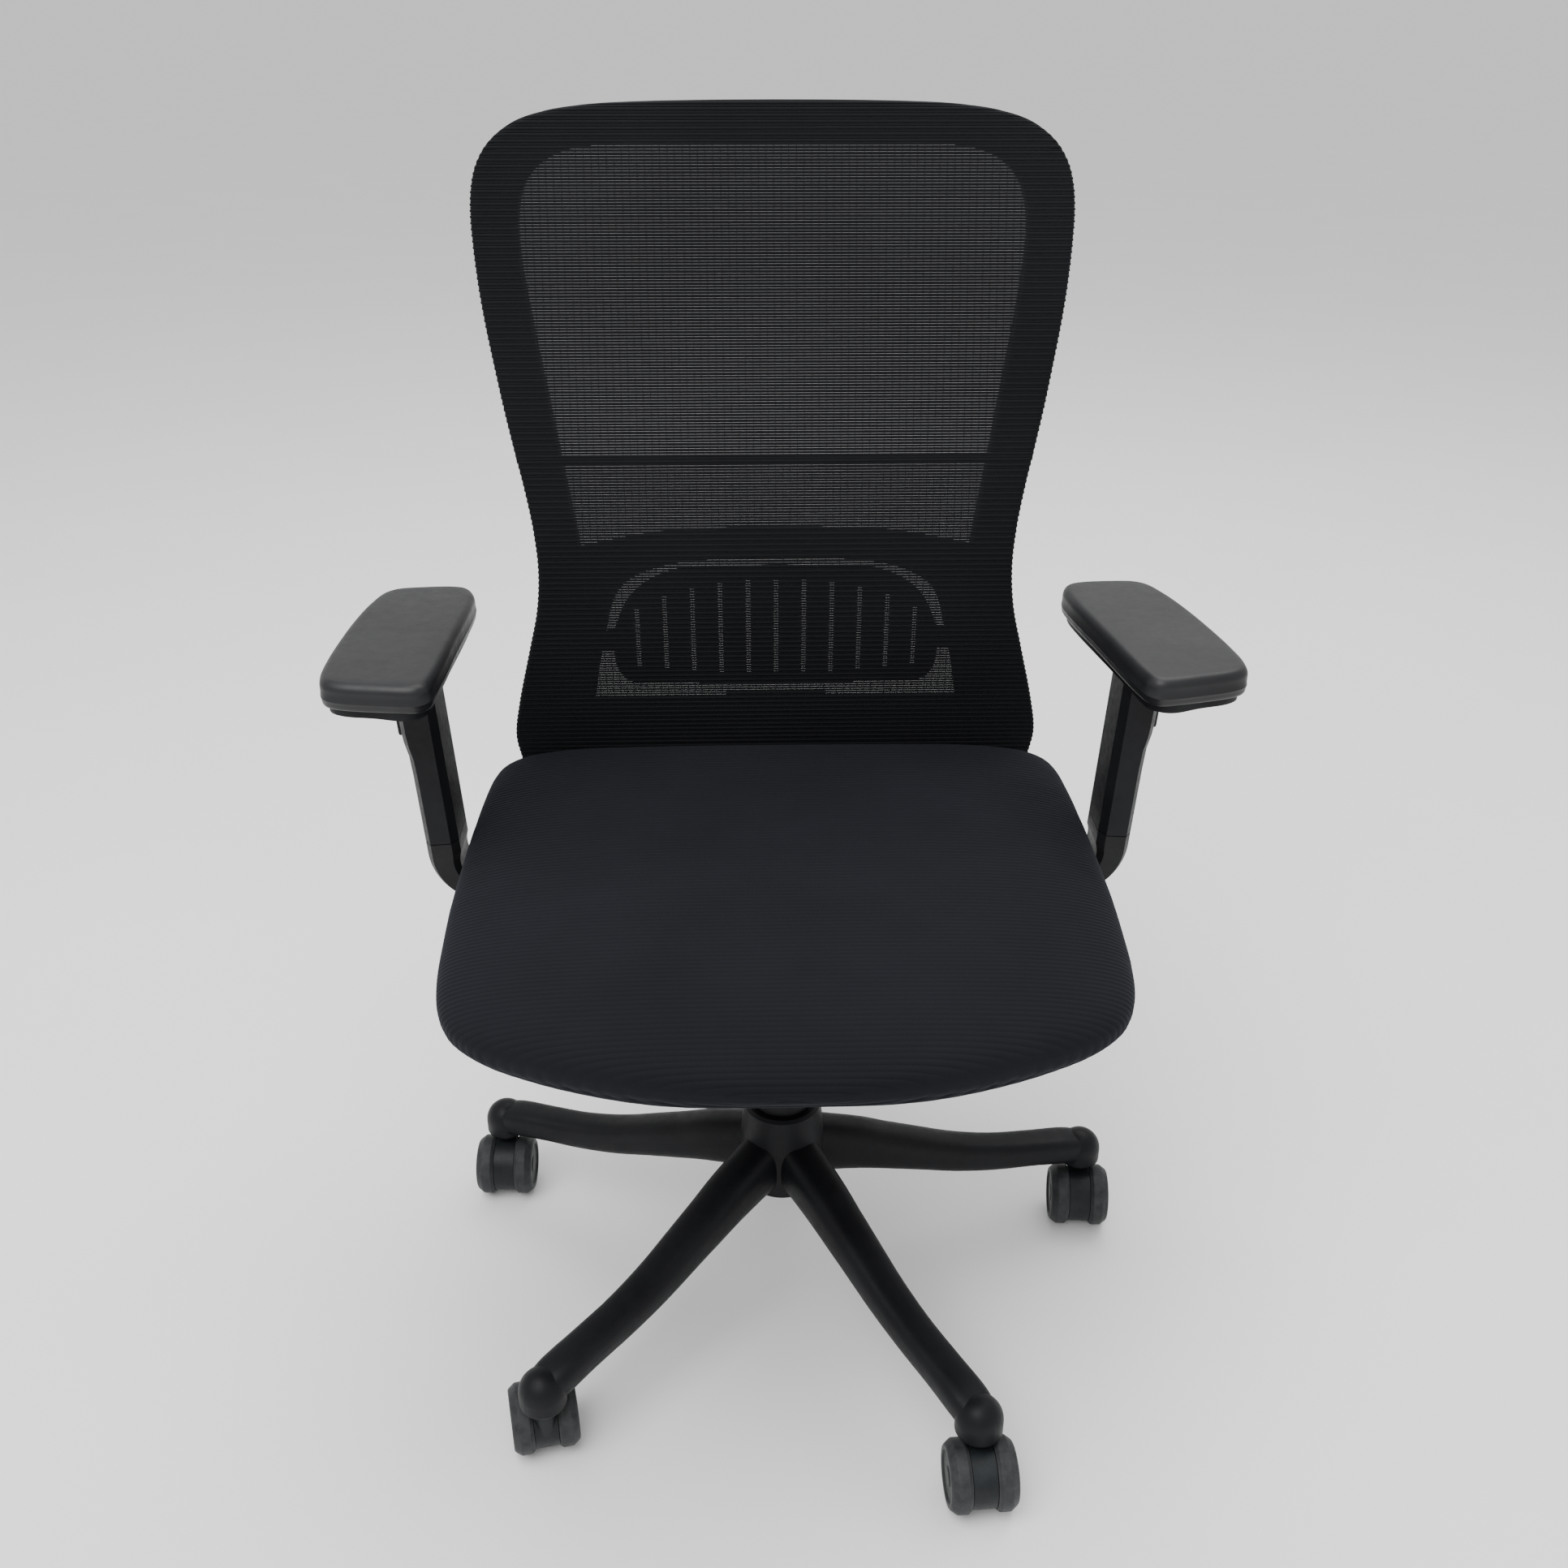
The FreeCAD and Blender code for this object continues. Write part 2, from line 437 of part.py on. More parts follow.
for x, y in BOLTS_BACK:
    br = br.cut(cyl(3.05, 340, 365, x, y))
for x, z in HOLES_FRAME:
    br = br.cut(cyl_y(4.05, 200, 300, x, z))
save("back_bracket", br)
bb = [bolt_up(x, y, 349.3) for x, y in BOLTS_BACK]
for x, z in HOLES_FRAME:
    yr = y_at(z) + FRAME_REAR + BR_T + 2.3
    bb.append(cyl_y(4.0, y_at(z) + 8, yr, x, z).fuse(cyl_y(7.0, yr, yr + 3.5, x, z)).removeSplitter())
save("back_bolts", bb)

# ---------------------------------------------------------------- arms


def section_pts(t, d, cut, grow=0.0):
    """Six-sided blade section: t across X, d along Y, corners cut."""
    a, b2 = t / 2, d / 2
    return [(a + grow, -b2 + cut), (a + grow, b2 - cut), (a - cut * 0.62, b2), (-a + cut * 0.62, b2), (-a, b2 - cut), (-a, -b2 + cut), (-a + cut * 0.62, -b2), (a - cut * 0.62, -b2)]


def arm(side):
    """Pieces of the right arm (+X), mirrored for the left."""
    out = {}
    # fixed bracket: flat bar, elbow and a leaning blade
    th = math.radians(ARM_LEAN)

    def lean(shape):
        q = shape.copy()
        q.rotate(V(ARM_X, ARM_Y, SLEEVE_TOP), V(0, 1, 0), ARM_LEAN)
        return q

    ro, zz0 = 51.0, 400.0                      # elbow: outer radius and height of its centre
    z_end = zz0 - (ro - ARM_T / 2) * math.sin(th)
    run = (SLEEVE_TOP - z_end) / math.cos(th)  # from the pivot height down the blade to the elbow
    cx = ARM_X - run * math.sin(th) - (ro - ARM_T / 2) * math.cos(th)
    bar = box(120, cx + 0.3, ARM_Y - 21, ARM_Y + 21, 349.0, 357.8)
    elbow_w = []
    for k in range(0, 10):
        a = math.radians(-90 + (90 - ARM_LEAN) * k / 9.0)
        tk = 8.8 + (ARM_T - 8.8) * (k / 9.0) ** 0.8
        ri = ro - tk
        ca, sa = math.cos(a), math.sin(a)
        hw = 21.0 + 6.0 * (k / 9.0)
        cut = 2.0 + 6.5 * (k / 9.0)
        pts = []
        for (q, yy) in ((ro, -hw + cut), (ro, hw - cut), (ro - cut * 0.62, hw), (ri + cut * 0.62, hw), (ri, hw - cut), (ri, -hw + cut), (ri + cut * 0.62, -hw), (ro - cut * 0.62, -hw)):
            pts.append(V(cx + q * ca, ARM_Y + yy, zz0 + q * sa))
        elbow_w.append(Part.makePolygon(pts + [pts[0]]))
    elbow = Part.makeLoft(elbow_w, True, False)
    z0s = SLEEVE_TOP - run
    top_pts = [V(ARM_X + x, ARM_Y + y, z0s - 0.05) for x, y in section_pts(ARM_T, ARM_D, 8.5)]
    stub = poly_face(top_pts).extrude(V(0, 0, SLEEVE_BOTTOM - 0.7 - z0s))
    blade = box(ARM_X - 8, ARM_X + 8, ARM_Y - 19, ARM_Y + 19, SLEEVE_BOTTOM - 6, 538.0)
    br2 = bar.fuse(elbow).fuse(lean(stub.fuse(blade)))
    for x, y in BOLTS_ARM:
        if x > 0:
            br2 = br2.cut(cyl(3.05, 340, 365, x, y))
    out["bracket"] = br2.removeSplitter()
    # sleeve that slides on the blade; flares out towards the top where the button sits
    secs = []
    for z, g in ((SLEEVE_BOTTOM, 0.0), (470.0, 0.0), (488.0, 0.5), (500.0, 2.6), (510.0, 3.2), (SLEEVE_TOP + 5.0, 3.2)):
        pts = [V(ARM_X + x, ARM_Y + y, z) for x, y in section_pts(ARM_T, ARM_D, 8.5, 0.0)]
        pts = [V(p.x + (g if p.x > ARM_X + 4 else 0.0), p.y, p.z) for p in pts]
        secs.append(Part.makePolygon(pts + [pts[0]]))
    sl = Part.makeLoft(secs, True, True)
    sl = sl.cut(box(ARM_X - 8.35, ARM_X + 8.35, ARM_Y - 19.35, ARM_Y + 19.35, 400, 543.0))
    sl = sl.cut(box(ARM_X + 8, ARM_X + 30, ARM_Y - 8.3, ARM_Y + 8.3, 501.7, 518.3))
    sl = lean(sl)
    sl = sl.cut(box(ARM_X - 40, ARM_X + 40, ARM_Y - 40, ARM_Y + 40, SLEEVE_TOP, SLEEVE_TOP + 20))
    sl = sl.cut(cyl(8.06, 546.5, 570, ARM_X, ARM_Y))
    out["sleeve"] = sl.removeSplitter()
    bt = box(ARM_X + 12.0, ARM_X + 22.5, ARM_Y - 8.0, ARM_Y + 8.0, 502.0, 518.0)
    bt = fillet_edges(bt, 2.0, lambda e: e.BoundBox.XMin > ARM_X + 22)
    out["button"] = lean(bt)
    # pad and its plate, outline about the pivot, outer side +X
    local = [(-13, -50.5), (-19.5, -43), (-21.5, -28), (-21.5, 60), (-21.3, 132), (-19, 152), (-12, 165), (0, 169.5), (28, 168), (48, 163.5), (58, 154), (64.5, 128), (68.0, 90), (69.0, 45), (68.2, 5), (65.6, -22), (60, -38), (50, -44.5), (20, -49.5)]
    local = [(x - 10.9, y - 51.0) for x, y in local]
    pts = [(ARM_X + x, ARM_Y + y, 561.3) for x, y in local]
    f = Part.Face(Part.Wire([spline(pts, True)]))
    p = f.extrude(V(0, 0, PAD_TOP - 561.3))
    p = fillet_edges(p, 6.0, lambda e: e.BoundBox.ZMin > PAD_TOP - 0.1)
    out["pad"] = p
    pts2 = [(ARM_X + 12.1 + (x - 12.1) * 0.90, ARM_Y + 9.0 + (y - 9.0) * 0.955, 555.3) for x, y in local]
    pb = Part.Face(Part.Wire([spline(pts2, True)])).extrude(V(0, 0, 5.9)).fuse(cyl(8.0, 547.0, 556.0, ARM_X, ARM_Y))
    out["pad_base"] = pb.removeSplitter()
    for k in ("pad", "pad_base"):
        out[k] = turned(out[k], PAD_TURN["right"] if side > 0 else -PAD_TURN["left"], ARM_X, ARM_Y)
    if side < 0:
        out = {k: s.mirror(V(0, 0, 0), V(1, 0, 0)) for k, s in out.items()}
    return out


for side, word in ((-1, "left"), (1, "right")):
    for k, s in arm(side).items():
        save("arm_%s_%s" % (word, k), s)
save("arm_bolts", [bolt_up(x, y, 349.0) for x, y in BOLTS_ARM])
print("files", len(os.listdir("parts")))
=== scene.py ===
import bpy
import bmesh
import math
import numpy as np
from mathutils import Matrix, Vector
from mathutils.bvhtree import BVHTree


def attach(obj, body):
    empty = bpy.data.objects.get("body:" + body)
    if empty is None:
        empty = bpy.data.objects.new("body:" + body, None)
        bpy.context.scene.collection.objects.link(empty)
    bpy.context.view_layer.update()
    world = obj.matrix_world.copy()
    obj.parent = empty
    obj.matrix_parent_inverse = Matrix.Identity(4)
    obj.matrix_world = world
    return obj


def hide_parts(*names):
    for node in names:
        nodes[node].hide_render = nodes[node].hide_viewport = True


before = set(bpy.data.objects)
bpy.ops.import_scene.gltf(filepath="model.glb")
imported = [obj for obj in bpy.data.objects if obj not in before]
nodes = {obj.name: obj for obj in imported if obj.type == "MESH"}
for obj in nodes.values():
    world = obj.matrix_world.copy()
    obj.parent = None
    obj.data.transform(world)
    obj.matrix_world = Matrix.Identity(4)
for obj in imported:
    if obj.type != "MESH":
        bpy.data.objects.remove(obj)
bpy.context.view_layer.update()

DROP = 8.0               # the profiles below are in millimetres above the frame's own zero, this much higher than the finished part
rng = np.random.default_rng(7)


# ---------------------------------------------------------------- small helpers
def pchip(xs, ys):
    """Smooth curve through points that never overshoots; returns its value function."""
    xs, ys = np.asarray(xs, float), np.asarray(ys, float)
    h, d = np.diff(xs), np.diff(ys) / np.diff(xs)
    m = np.zeros_like(xs)
    for i in range(1, len(xs) - 1):
        if d[i - 1] * d[i] > 0:
            w1, w2 = 2 * h[i] + h[i - 1], h[i] + 2 * h[i - 1]
            m[i] = (w1 + w2) / (w1 / d[i - 1] + w2 / d[i])
    m[0], m[-1] = d[0], d[-1]

    def value(x):
        x = np.clip(np.asarray(x, float), xs[0], xs[-1])
        i = np.clip(np.searchsorted(xs, x) - 1, 0, len(xs) - 2)
        t = (x - xs[i]) / h[i]
        return (2 * t**3 - 3 * t**2 + 1) * ys[i] + (t**3 - 2 * t**2 + t) * h[i] * m[i] + (-2 * t**3 + 3 * t**2) * ys[i + 1] + (t**3 - t**2) * h[i] * m[i + 1]

    return value


def catmull(points, closed, per):
    """Rounded curve through 2-D points, per samples to a span."""
    p = np.asarray(points, float)
    n = len(p)
    out = []
    spans = n if closed else n - 1
    for i in range(spans):
        if closed:
            a, b, c, d = p[(i - 1) % n], p[i], p[(i + 1) % n], p[(i + 2) % n]
        else:
            a, b, c, d = p[max(i - 1, 0)], p[i], p[i + 1], p[min(i + 2, n - 1)]
        tb, tc, td = [np.linalg.norm(v) ** 0.5 + 1e-9 for v in (b - a, c - b, d - c)]
        m1 = tc * ((b - a) / tb - (c - a) / (tb + tc) + (c - b) / tc) if np.linalg.norm(b - a) > 0 else (c - b)
        m2 = tc * ((c - b) / tc - (d - b) / (tc + td) + (d - c) / td) if np.linalg.norm(d - c) > 0 else (c - b)
        for k in range(per):
            t = k / per
            out.append((2 * t**3 - 3 * t**2 + 1) * b + (t**3 - 2 * t**2 + t) * m1 + (-2 * t**3 + 3 * t**2) * c + (t**3 - t**2) * m2)
    if not closed:
        out.append(p[-1])
    return np.array(out)


def resample(poly, n, closed=True):
    q = np.vstack([poly, poly[:1]]) if closed else poly
    s = np.concatenate([[0], np.cumsum(np.linalg.norm(np.diff(q, axis=0), axis=1))])
    t = np.linspace(0, s[-1], n, endpoint=not closed)
    return np.stack([np.interp(t, s, q[:, k]) for k in range(q.shape[1])], 1)


def make_piece(name, verts_mm, faces, material, smooth=True):
    me = bpy.data.meshes.new(name)
    v = np.asarray(verts_mm, float) * 0.001
    me.from_pydata(v.tolist(), [], [list(map(int, f)) for f in faces])
    me.validate()
    me.update()
    if smooth:
        me.polygons.foreach_set("use_smooth", [True] * len(me.polygons))
    o = bpy.data.objects.new(name, me)
    bpy.context.scene.collection.objects.link(o)
    me.materials.append(material)
    return o


def tube_faces(rings, per, first=0, cap=True):
    """Quads of a closed tube of rings with per points each."""
    f = []
    for i in range(rings - 1):
        a, b = first + i * per, first + (i + 1) * per
        for k in range(per):
            f.append((a + k, a + (k + 1) % per, b + (k + 1) % per, b + k))
    if cap:
        f.append(tuple(first + k for k in reversed(range(per))))
        f.append(tuple(first + (rings - 1) * per + k for k in range(per)))
    return f


def outward(o):
    bm = bmesh.new()
    bm.from_mesh(o.data)
    bmesh.ops.recalc_face_normals(bm, faces=bm.faces)
    bm.to_mesh(o.data)
    bm.free()


# ---------------------------------------------------------------- materials
def new_material(name):
    m = bpy.data.materials.new(name)
    m.use_nodes = True
    nt = m.node_tree
    return m, nt, nt.nodes["Principled BSDF"]


def add(nt, kind, **inputs):
    n = nt.nodes.new(kind)
    for k, v in inputs.items():
        n.inputs[k.replace("_", " ")].default_value = v
    return n


def ramp(nt, factor, stops):
    n = nt.nodes.new("ShaderNodeValToRGB")
    e = n.color_ramp.elements
    e[0].position, e[1].position = stops[0][0], stops[-1][0]
    e[0].color, e[1].color = stops[0][1], stops[-1][1]
    for p, c in stops[1:-1]:
        x = e.new(p)
        x.color = c
    nt.links.new(factor, n.inputs["Fac"])
    return n


def rgb(r, g, b):
    return (r, g, b, 1.0)


def grey(v):
    return (v, v, v, 1.0)


def plastic(name, dark, light, rough=(0.38, 0.55), grain=1100.0, grain_depth=0.00006, spec=0.35, cloud=26.0, scratch=0.0, edge=0.0):
    """Moulded plastic: cloudy colour, fine spark-eroded grain, uneven gloss, faint scuffs."""
    m, nt, b = new_material(name)
    co = nt.nodes.new("ShaderNodeTexCoord").outputs["Object"]
    n1 = add(nt, "ShaderNodeTexNoise", Scale=cloud, Detail=5.0, Roughness=0.6)
    n2 = add(nt, "ShaderNodeTexNoise", Scale=grain, Detail=2.0, Roughness=0.5)
    n3 = add(nt, "ShaderNodeTexNoise", Scale=cloud * 7.0, Detail=6.0, Roughness=0.7)
    for n in (n1, n2, n3):
        nt.links.new(co, n.inputs["Vector"])
    col = ramp(nt, n1.outputs["Fac"], [(0.30, dark), (0.72, light)])
    out = col.outputs["Color"]
    if scratch > 0:
        w = add(nt, "ShaderNodeTexNoise", Scale=70.0, Detail=8.0, Roughness=0.85)
        mp = add(nt, "ShaderNodeMapping")
        mp.inputs["Scale"].default_value = (6.0, 0.7, 1.0)
        mp.inputs["Rotation"].default_value = (0.2, 0.1, 0.7)
        nt.links.new(co, mp.inputs["Vector"])
        nt.links.new(mp.outputs["Vector"], w.inputs["Vector"])
        k = ramp(nt, w.outputs["Fac"], [(0.60, grey(0.0)), (0.70, grey(1.0))])
        mix = nt.nodes.new("ShaderNodeMix")
        mix.data_type = "RGBA"
        mul = nt.nodes.new("ShaderNodeMath")
        mul.operation = "MULTIPLY"
        mul.inputs[1].default_value = scratch
        nt.links.new(k.outputs["Color"], mul.inputs[0])
        nt.links.new(mul.outputs[0], mix.inputs[0])
        nt.links.new(out, mix.inputs[6])
        mix.inputs[7].default_value = tuple(min(1.0, 2.6 * c + 0.02) for c in light[:3]) + (1.0,)
        out = mix.outputs[2]
    if edge > 0:
        g = nt.nodes.new("ShaderNodeNewGeometry")
        k = ramp(nt, g.outputs["Pointiness"], [(0.52, grey(0.0)), (0.62, grey(edge))])
        mix = nt.nodes.new("ShaderNodeMix")
        mix.data_type = "RGBA"
        nt.links.new(k.outputs["Color"], mix.inputs[0])
        nt.links.new(out, mix.inputs[6])
        mix.inputs[7].default_value = tuple(min(1.0, 2.2 * c + 0.015) for c in light[:3]) + (1.0,)
        out = mix.outputs[2]
    nt.links.new(out, b.inputs["Base Color"])
    rr = ramp(nt, n3.outputs["Fac"], [(0.3, grey(rough[0])), (0.7, grey(rough[1]))])
    nt.links.new(rr.outputs["Color"], b.inputs["Roughness"])
    bump = nt.nodes.new("ShaderNodeBump")
    bump.inputs["Distance"].default_value = grain_depth
    bump.inputs["Strength"].default_value = 0.7
    nt.links.new(n2.outputs["Fac"], bump.inputs["Height"])
    nt.links.new(bump.outputs["Normal"], b.inputs["Normal"])
    b.inputs["Specular IOR Level"].default_value = spec
    return m


def metal(name, base, rough=(0.25, 0.4), brushed=(1.0, 1.0, 40.0), metallic=1.0):
    m, nt, b = new_material(name)
    co = nt.nodes.new("ShaderNodeTexCoord").outputs["Object"]
    mp = add(nt, "ShaderNodeMapping")
    mp.inputs["Scale"].default_value = brushed
    nt.links.new(co, mp.inputs["Vector"])
    n = add(nt, "ShaderNodeTexNoise", Scale=60.0, Detail=6.0, Roughness=0.7)
    nt.links.new(mp.outputs["Vector"], n.inputs["Vector"])
    c = ramp(nt, n.outputs["Fac"], [(0.3, tuple(x * 0.8 for x in base) + (1.0,)), (0.7, tuple(min(1, x * 1.1) for x in base) + (1.0,))])
    nt.links.new(c.outputs["Color"], b.inputs["Base Color"])
    r = ramp(nt, n.outputs["Fac"], [(0.3, grey(rough[0])), (0.7, grey(rough[1]))])
    nt.links.new(r.outputs["Color"], b.inputs["Roughness"])
    bump = nt.nodes.new("ShaderNodeBump")
    bump.inputs["Distance"].default_value = 0.00003
    nt.links.new(n.outputs["Fac"], bump.inputs["Height"])
    nt.links.new(bump.outputs["Normal"], b.inputs["Normal"])
    b.inputs["Metallic"].default_value = metallic
    return m


def fabric(name, dark, light, across=900.0, along=1500.0, depth=0.00018, sheen=0.12, tint=None):
    """Ribbed knit: fine yarn loops crossing the ribs, soft sheen and slow shade drift."""
    m, nt, b = new_material(name)
    co = nt.nodes.new("ShaderNodeTexCoord").outputs["Object"]
    slow = add(nt, "ShaderNodeTexNoise", Scale=7.0, Detail=4.0, Roughness=0.55)
    nt.links.new(co, slow.inputs["Vector"])
    wave = nt.nodes.new("ShaderNodeTexWave")
    wave.wave_type, wave.bands_direction = "BANDS", "X"
    wave.inputs["Scale"].default_value = across / 6.2832
    wave.inputs["Distortion"].default_value = 0.6
    wave.inputs["Detail"].default_value = 2.0
    wave.inputs["Detail Scale"].default_value = 8.0
    nt.links.new(co, wave.inputs["Vector"])
    fine = add(nt, "ShaderNodeTexNoise", Scale=along, Detail=3.0, Roughness=0.65)
    nt.links.new(co, fine.inputs["Vector"])
    blend = nt.nodes.new("ShaderNodeMix")
    blend.data_type = "FLOAT"
    blend.inputs[0].default_value = 0.75
    nt.links.new(wave.outputs["Fac"], blend.inputs[2])
    nt.links.new(fine.outputs["Fac"], blend.inputs[3])
    c1 = ramp(nt, blend.outputs[0], [(0.25, dark), (0.80, light)])
    c2 = ramp(nt, slow.outputs["Fac"], [(0.32, grey(0.72)), (0.70, grey(1.0))])
    mul = nt.nodes.new("ShaderNodeMix")
    mul.data_type, mul.blend_type = "RGBA", "MULTIPLY"
    mul.inputs[0].default_value = 1.0
    nt.links.new(c1.outputs["Color"], mul.inputs[6])
    nt.links.new(c2.outputs["Color"], mul.inputs[7])
    nt.links.new(mul.outputs[2], b.inputs["Base Color"])
    rr = ramp(nt, fine.outputs["Fac"], [(0.3, grey(0.78)), (0.7, grey(0.95))])
    nt.links.new(rr.outputs["Color"], b.inputs["Roughness"])
    bump = nt.nodes.new("ShaderNodeBump")
    bump.inputs["Distance"].default_value = depth
    bump.inputs["Strength"].default_value = 0.8
    nt.links.new(blend.outputs[0], bump.inputs["Height"])
    nt.links.new(bump.outputs["Normal"], b.inputs["Normal"])
    b.inputs["Specular IOR Level"].default_value = 0.12
    b.inputs["Sheen Weight"].default_value = sheen
    b.inputs["Sheen Roughness"].default_value = 0.45
    if tint:
        b.inputs["Sheen Tint"].default_value = tint
    return m


M_SHELL = plastic("shell_plastic", rgb(0.0042, 0.0045, 0.0056), rgb(0.0078, 0.0082, 0.0098), rough=(0.40, 0.54), spec=0.15, cloud=18.0, scratch=0.04)
M_FRAME = plastic("frame_plastic", rgb(0.0040, 0.0043, 0.0054), rgb(0.0078, 0.0082, 0.0098), rough=(0.42, 0.58), spec=0.17, cloud=22.0, scratch=0.03)
M_HOOD = plastic("hood_plastic", rgb(0.0060, 0.0072, 0.0084), rgb(0.0150, 0.0180, 0.0200), rough=(0.36, 0.55), spec=0.20, cloud=60.0, scratch=0.10)
M_WHEEL = plastic("worn_nylon", rgb(0.0115, 0.0121, 0.0132), rgb(0.0330, 0.0346, 0.0364), rough=(0.42, 0.70), grain=700.0, grain_depth=0.00015, spec=0.25, cloud=110.0, scratch=0.30, edge=0.45)
M_PAD = plastic("arm_pad_skin", rgb(0.0066, 0.0069, 0.0079), rgb(0.0128, 0.0132, 0.0146), rough=(0.36, 0.48), grain=1700.0, grain_depth=0.00005, spec=0.33, cloud=14.0, scratch=0.03)
M_BUSH = plastic("bush_plastic", rgb(0.02, 0.02, 0.02), rgb(0.04, 0.04, 0.04), spec=0.35)
M_COAT = plastic("powder_coat", rgb(0.0055, 0.0057, 0.0065), rgb(0.0100, 0.0103, 0.0115), rough=(0.42, 0.60), grain=1500.0, grain_depth=0.00010, spec=0.20, cloud=40.0)
M_STEEL = metal("ground_steel", (0.52, 0.52, 0.53))
M_ZINC = metal("black_zinc", (0.16, 0.16, 0.165), rough=(0.3, 0.5), brushed=(1, 1, 1))
M_CHROME = metal("polished_chrome", (0.72, 0.73, 0.75), rough=(0.06, 0.14), brushed=(1, 1, 8.0))
M_SEAT = fabric("seat_knit", rgb(0.0040, 0.0044, 0.0062), rgb(0.0108, 0.0116, 0.0154), across=2600.0, sheen=0.05, tint=(0.6, 0.65, 0.8, 1))
M_MESH = fabric("mesh_yarn", rgb(0.0040, 0.0043, 0.0053), rgb(0.0118, 0.0124, 0.0142), across=2600.0, depth=0.00012, sheen=0.05, tint=(0.8, 0.85, 0.95, 1))


def plywood():
    m, nt, b = new_material("plywood")
    co = nt.nodes.new("ShaderNodeTexCoord").outputs["Object"]
    mp = add(nt, "ShaderNodeMapping")
    mp.inputs["Scale"].default_value = (40.0, 3.0, 900.0)
    nt.links.new(co, mp.inputs["Vector"])
    n = add(nt, "ShaderNodeTexNoise", Scale=2.0, Detail=7.0, Roughness=0.6, Distortion=0.6)
    nt.links.new(mp.outputs["Vector"], n.inputs["Vector"])
    c = ramp(nt, n.outputs["Fac"], [(0.3, rgb(0.22, 0.13, 0.06)), (0.7, rgb(0.46, 0.32, 0.18))])
    nt.links.new(c.outputs["Color"], b.inputs["Base Color"])
    b.inputs["Roughness"].default_value = 0.7
    return m


M_PLY = plywood()

NODE_MATERIAL = {
    "base_star": M_SHELL, "caster_stems": M_STEEL, "gas_lift_outer_tube": M_COAT, "gas_lift_guide_bush": M_BUSH, "gas_lift_thrust_bearing": M_STEEL,
    "gas_lift_piston_rod": M_CHROME, "gas_lift_foot_clip": M_STEEL, "gas_lift_cylinder": M_CHROME, "mechanism_housing": M_COAT, "tilt_pivot_pin": M_STEEL,
    "tension_bolt": M_ZINC, "tension_spring": M_STEEL, "gas_lift_valve_pin": M_STEEL, "tension_knob": M_FRAME, "tilt_lock_tongue": M_FRAME, "lever_rod": M_COAT,
    "lever_handle": M_FRAME, "mechanism_top_plate": M_COAT, "seat_plate_bolts": M_ZINC, "seat_board": M_PLY, "seat_under_cover": M_SHELL, "back_bracket": M_COAT,
    "back_bolts": M_ZINC, "back_frame": M_FRAME, "lumbar_pad": M_FRAME, "arm_bolts": M_ZINC, "seat_cushion": M_SEAT, "back_mesh": M_MESH,
}
for s in ("left", "right"):
    NODE_MATERIAL["arm_%s_bracket" % s] = M_COAT
    NODE_MATERIAL["arm_%s_sleeve" % s] = M_FRAME
    NODE_MATERIAL["arm_%s_button" % s] = M_FRAME
    NODE_MATERIAL["arm_%s_pad_base" % s] = M_FRAME
    NODE_MATERIAL["arm_%s_pad" % s] = M_PAD
for k in range(1, 6):
    NODE_MATERIAL["caster_%d_hood" % k] = M_HOOD
    NODE_MATERIAL["caster_%d_axle" % k] = M_STEEL
    for w in "ab":
        NODE_MATERIAL["caster_%d_wheel_%s" % (k, w)] = M_WHEEL
for name, o in nodes.items():
    mat = NODE_MATERIAL[name]
    if not o.material_slots:
        o.data.materials.append(mat)
    for sl in o.material_slots:
        sl.material = mat

# ---------------------------------------------------------------- seat cushion
# sections across Y: y, half width, bottom z, top z at the middle
CUSH = [(-259.6, 6.0, 391.2, 393.2), (-259.0, 26.0, 388.8, 395.0), (-257.0, 50.0, 386.0, 397.5), (-252.5, 84.0, 381.0, 402.5), (-246.0, 114.0, 377.0, 407.0), (-235.0, 151.0, 374.0, 411.5), (-221.0, 188.5, 372.6, 415.0), (-205.0, 219.0, 372.0, 418.0), (-187.0, 237.0, 372.0, 420.5), (-165.0, 246.8, 372.0, 422.8), (-135.0, 252.8, 372.0, 424.6), (-90.0, 256.4, 372.0, 426.0), (-30.0, 259.4, 372.0, 427.0), (40.0, 259.8, 372.0, 428.0), (110.0, 259.0, 372.0, 430.0), (160.0, 256.5, 372.0, 432.0), (184.0, 253.5, 372.2, 433.0), (199.0, 248.5, 374.0, 431.5), (207.0, 239.0, 378.0, 426.5), (210.5, 226.0, 383.0, 420.0), (211.6, 190.0, 391.0, 411.0), (212.0, 120.0, 399.0, 404.0)]
RIB = 4.65
cy = np.array([c[0] for c in CUSH])
f_w, f_z0, f_z1 = [pchip(cy, [c[i] for c in CUSH]) for i in (1, 2, 3)]
# rows evenly spaced along the middle line of the top, six to a rib
yy = np.concatenate([np.linspace(-259.6, -200, 1200), np.linspace(-199.9, 195, 1500), np.linspace(195.1, 212.0, 500)])
zz = f_z1(yy)
arc = np.concatenate([[0], np.cumsum(np.hypot(np.diff(yy), np.diff(zz)))])
PER = 6
n_rows = int(arc[-1] / (RIB / PER))
row_s = np.linspace(0, arc[-1], n_rows)
row_y = np.interp(row_s, arc, yy)
COLS = 144
ang = 2 * np.pi * (np.arange(COLS) + 0.5) / COLS
ca, sa = np.cos(ang), np.sin(ang)


def soft_noise(x, y, seed, size):
    """Sum of a few long waves, a slow unevenness of hand-laid foam."""
    r = np.random.default_rng(seed)
    out = np.zeros_like(x)
    for _ in range(9):
        k = r.uniform(0.6, 1.7) * 2 * np.pi / size
        a = r.uniform(0, 2 * np.pi)
        out += np.cos(k * (x * np.cos(a) + y * np.sin(a)) + r.uniform(0, 6.28))
    return out / 9.0


